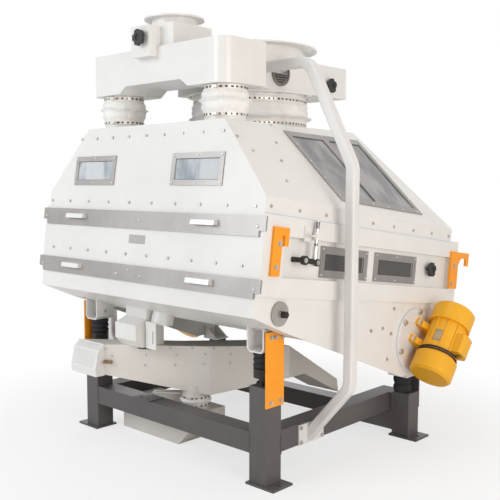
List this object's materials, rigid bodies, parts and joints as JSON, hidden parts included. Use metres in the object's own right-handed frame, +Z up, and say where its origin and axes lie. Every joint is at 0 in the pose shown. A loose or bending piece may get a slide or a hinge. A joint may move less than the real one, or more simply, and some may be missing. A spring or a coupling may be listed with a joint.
{
  "type": "grain destoner",
  "caption": "Double-deck suction gravity destoner with a tilted vibrating screen body, tapered hood, twin vibrating motors and rubber springs on a square-tube base frame.",
  "frame": {"origin": "on the floor in the middle of the base frame, midway between the front and rear feet and on the symmetry plane of the frame", "axes": "+X toward the side whose motor is fully seen in the picture; +Y from the feed end at the front to the rear; +Z up"},
  "size_m": [2.11, 1.7842, 2.123],
  "materials": {
    "frame_paint": "satin dark grey",
    "body_white": "semi-gloss warm white powder coat",
    "orange_paint": "semi-gloss orange",
    "motor_paint": "semi-gloss golden yellow",
    "stainless": "brushed stainless steel",
    "zinc_steel": "bright zinc plated",
    "grey_steel": "satin light grey",
    "tinted_glass": "dark tinted acrylic",
    "cloth_sleeve": "off-white filter cloth",
    "black_rubber": "matt black",
    "black_plastic": "matt black moulded",
    "wire_screen": "woven wire"
  },
  "bodies": {
    "frame": {"front_legs": "frame_paint", "rear_legs": "frame_paint", "side_beams": "frame_paint", "front_beam": "frame_paint", "rear_beam": "frame_paint", "front_spring_seats": "frame_paint", "front_springs": "black_rubber", "rear_springs": "black_rubber", "transport_plates": "orange_paint", "support_posts": "body_white", "support_beam": "body_white", "feed_header": "body_white", "false_air_grille": "grey_steel", "air_stack": "body_white", "feed_sleeves": "cloth_sleeve", "main_sleeve": "cloth_sleeve", "outlet_sleeve": "cloth_sleeve", "floor_chute": "body_white", "fixed_sleeve_bands": "zinc_steel"},
    "vibrating_body": {"side_wall_right": "body_white", "side_wall_left": "body_white", "front_wall": "body_white", "rear_wall": "body_white", "hood": "body_white", "window_frames": "stainless", "window_panes": "tinted_glass", "lifting_hooks": "orange_paint", "rod_brackets": "grey_steel", "clamp_discs": "grey_steel", "cross_tube": "grey_steel", "motor_discs": "grey_steel", "motor_housing_right": "motor_paint", "motor_housing_left": "motor_paint", "motor_caps": "motor_paint", "motor_cables": "black_plastic", "spring_brackets": "grey_steel", "collecting_trough": "body_white", "drop_box": "body_white", "round_spout": "body_white", "moving_sleeve_bands": "zinc_steel"},
    "upper_screen_tray": {"upper_tray": "stainless", "upper_screen": "wire_screen", "upper_cover": "stainless"},
    "lower_screen_tray": {"lower_tray": "stainless", "lower_screen": "wire_screen", "lower_cover": "stainless"},
    "rotor_right": {"motor_rotor_right": "zinc_steel"},
    "rotor_left": {"motor_rotor_left": "zinc_steel"},
    "feed_wheel": {"feed_handwheel": "black_plastic"},
    "feed_valve_flap": {"feed_flap": "zinc_steel"},
    "damper_wheel": {"damper_shaft": "zinc_steel"},
    "damper_slide": {"damper_gate": "zinc_steel"},
    "lever_arm_right": {"lever_right": "grey_steel"},
    "lever_arm_left": {"lever_left": "grey_steel"},
    "threaded_rod_right": {"adjust_rod_right": "zinc_steel"},
    "threaded_rod_left": {"adjust_rod_left": "zinc_steel"},
    "knob_right": {"side_knob_right": "black_plastic"},
    "knob_left": {"side_knob_left": "black_plastic"},
    "end_cover": {"trough_end_cover": "body_white"},
    "end_cover_latch": {"cover_latch": "zinc_steel"}
  },
  "joints": [
    {"name": "throw", "type": "slide", "parent": "frame", "child": "vibrating_body", "axis": [0, -0.766, 0.6428], "range_m": [-0.003, 0.003], "stiffness_N_per_m": 6000000, "springref_m": 0.0009, "deforming": ["front_springs", "rear_springs", "feed_sleeves", "main_sleeve", "outlet_sleeve"]},
    {"name": "upper_tray_slide", "type": "slide", "parent": "vibrating_body", "child": "upper_screen_tray", "axis": [0, -0.9914, 0.1305], "range_m": [0, 1.2]},
    {"name": "lower_tray_slide", "type": "slide", "parent": "vibrating_body", "child": "lower_screen_tray", "axis": [0, -0.9914, 0.1305], "range_m": [0, 1.2]},
    {"name": "rotor_right_spin", "type": "hinge", "parent": "vibrating_body", "child": "rotor_right", "pos_m": [0.915, 0.524, 0.522], "axis": [0, 0.6428, 0.766], "continuous": true},
    {"name": "rotor_left_spin", "type": "hinge", "parent": "vibrating_body", "child": "rotor_left", "pos_m": [-0.915, 0.524, 0.522], "axis": [0, 0.6428, 0.766], "continuous": true},
    {"name": "feed_wheel_turn", "type": "hinge", "parent": "frame", "child": "feed_wheel", "pos_m": [-0.008, -0.68, 2.01], "axis": [0, -1, 0], "range_deg": [0, 720]},
    {"name": "feed_flap_turn", "type": "hinge", "parent": "frame", "child": "feed_valve_flap", "pos_m": [0, -0.48, 1.955], "axis": [0, -1, 0], "range_deg": [0, 85]},
    {"name": "damper_wheel_turn", "type": "hinge", "parent": "frame", "child": "damper_wheel", "pos_m": [0, 0.345, 1.859], "axis": [1, 0, 0], "range_deg": [0, 280]},
    {"name": "damper_gate_slide", "type": "slide", "parent": "frame", "child": "damper_slide", "axis": [0, -1, 0], "range_m": [0, 0.15]},
    {"name": "lever_right_swing", "type": "hinge", "parent": "vibrating_body", "child": "lever_arm_right", "pos_m": [0.812, -0.49657, 1.01651], "axis": [1, 0, 0], "range_deg": [-10, 10]},
    {"name": "rod_right_travel", "type": "slide", "parent": "vibrating_body", "child": "threaded_rod_right", "axis": [0, 0.1305, 0.9914], "range_m": [-0.015, 0.015]},
    {"name": "knob_right_turn", "type": "hinge", "parent": "vibrating_body", "child": "knob_right", "pos_m": [0.77, 0.62275, 0.88428], "axis": [1, 0, 0], "range_deg": [0, 360]},
    {"name": "lever_left_swing", "type": "hinge", "parent": "vibrating_body", "child": "lever_arm_left", "pos_m": [-0.812, -0.49657, 1.01651], "axis": [1, 0, 0], "range_deg": [-10, 10]},
    {"name": "rod_left_travel", "type": "slide", "parent": "vibrating_body", "child": "threaded_rod_left", "axis": [0, 0.1305, 0.9914], "range_m": [-0.015, 0.015]},
    {"name": "knob_left_turn", "type": "hinge", "parent": "vibrating_body", "child": "knob_left", "pos_m": [-0.77, 0.62275, 0.88428], "axis": [-1, 0, 0], "range_deg": [0, 360]},
    {"name": "end_cover_lift", "type": "hinge", "parent": "vibrating_body", "child": "end_cover", "pos_m": [-0.492, -0.6455, 0.504], "axis": [-1, 0, 0], "range_deg": [0, 70]},
    {"name": "cover_latch_turn", "type": "hinge", "parent": "vibrating_body", "child": "end_cover_latch", "pos_m": [-0.35724, -0.61903, 0.416], "axis": [0.6167, -0.7872, 0], "range_deg": [0, 90]}
  ],
  "couplings": [
    {"joint": "rotor_left_spin", "follows": "rotor_right_spin", "ratio": -1},
    {"joint": "feed_flap_turn", "follows": "feed_wheel_turn", "ratio": 0.11806},
    {"joint": "damper_gate_slide", "follows": "damper_wheel_turn", "m_per_rad": 0.03},
    {"joint": "rod_right_travel", "follows": "lever_right_swing", "m_per_rad": 0.085},
    {"joint": "rod_left_travel", "follows": "lever_left_swing", "m_per_rad": 0.085}
  ]
}
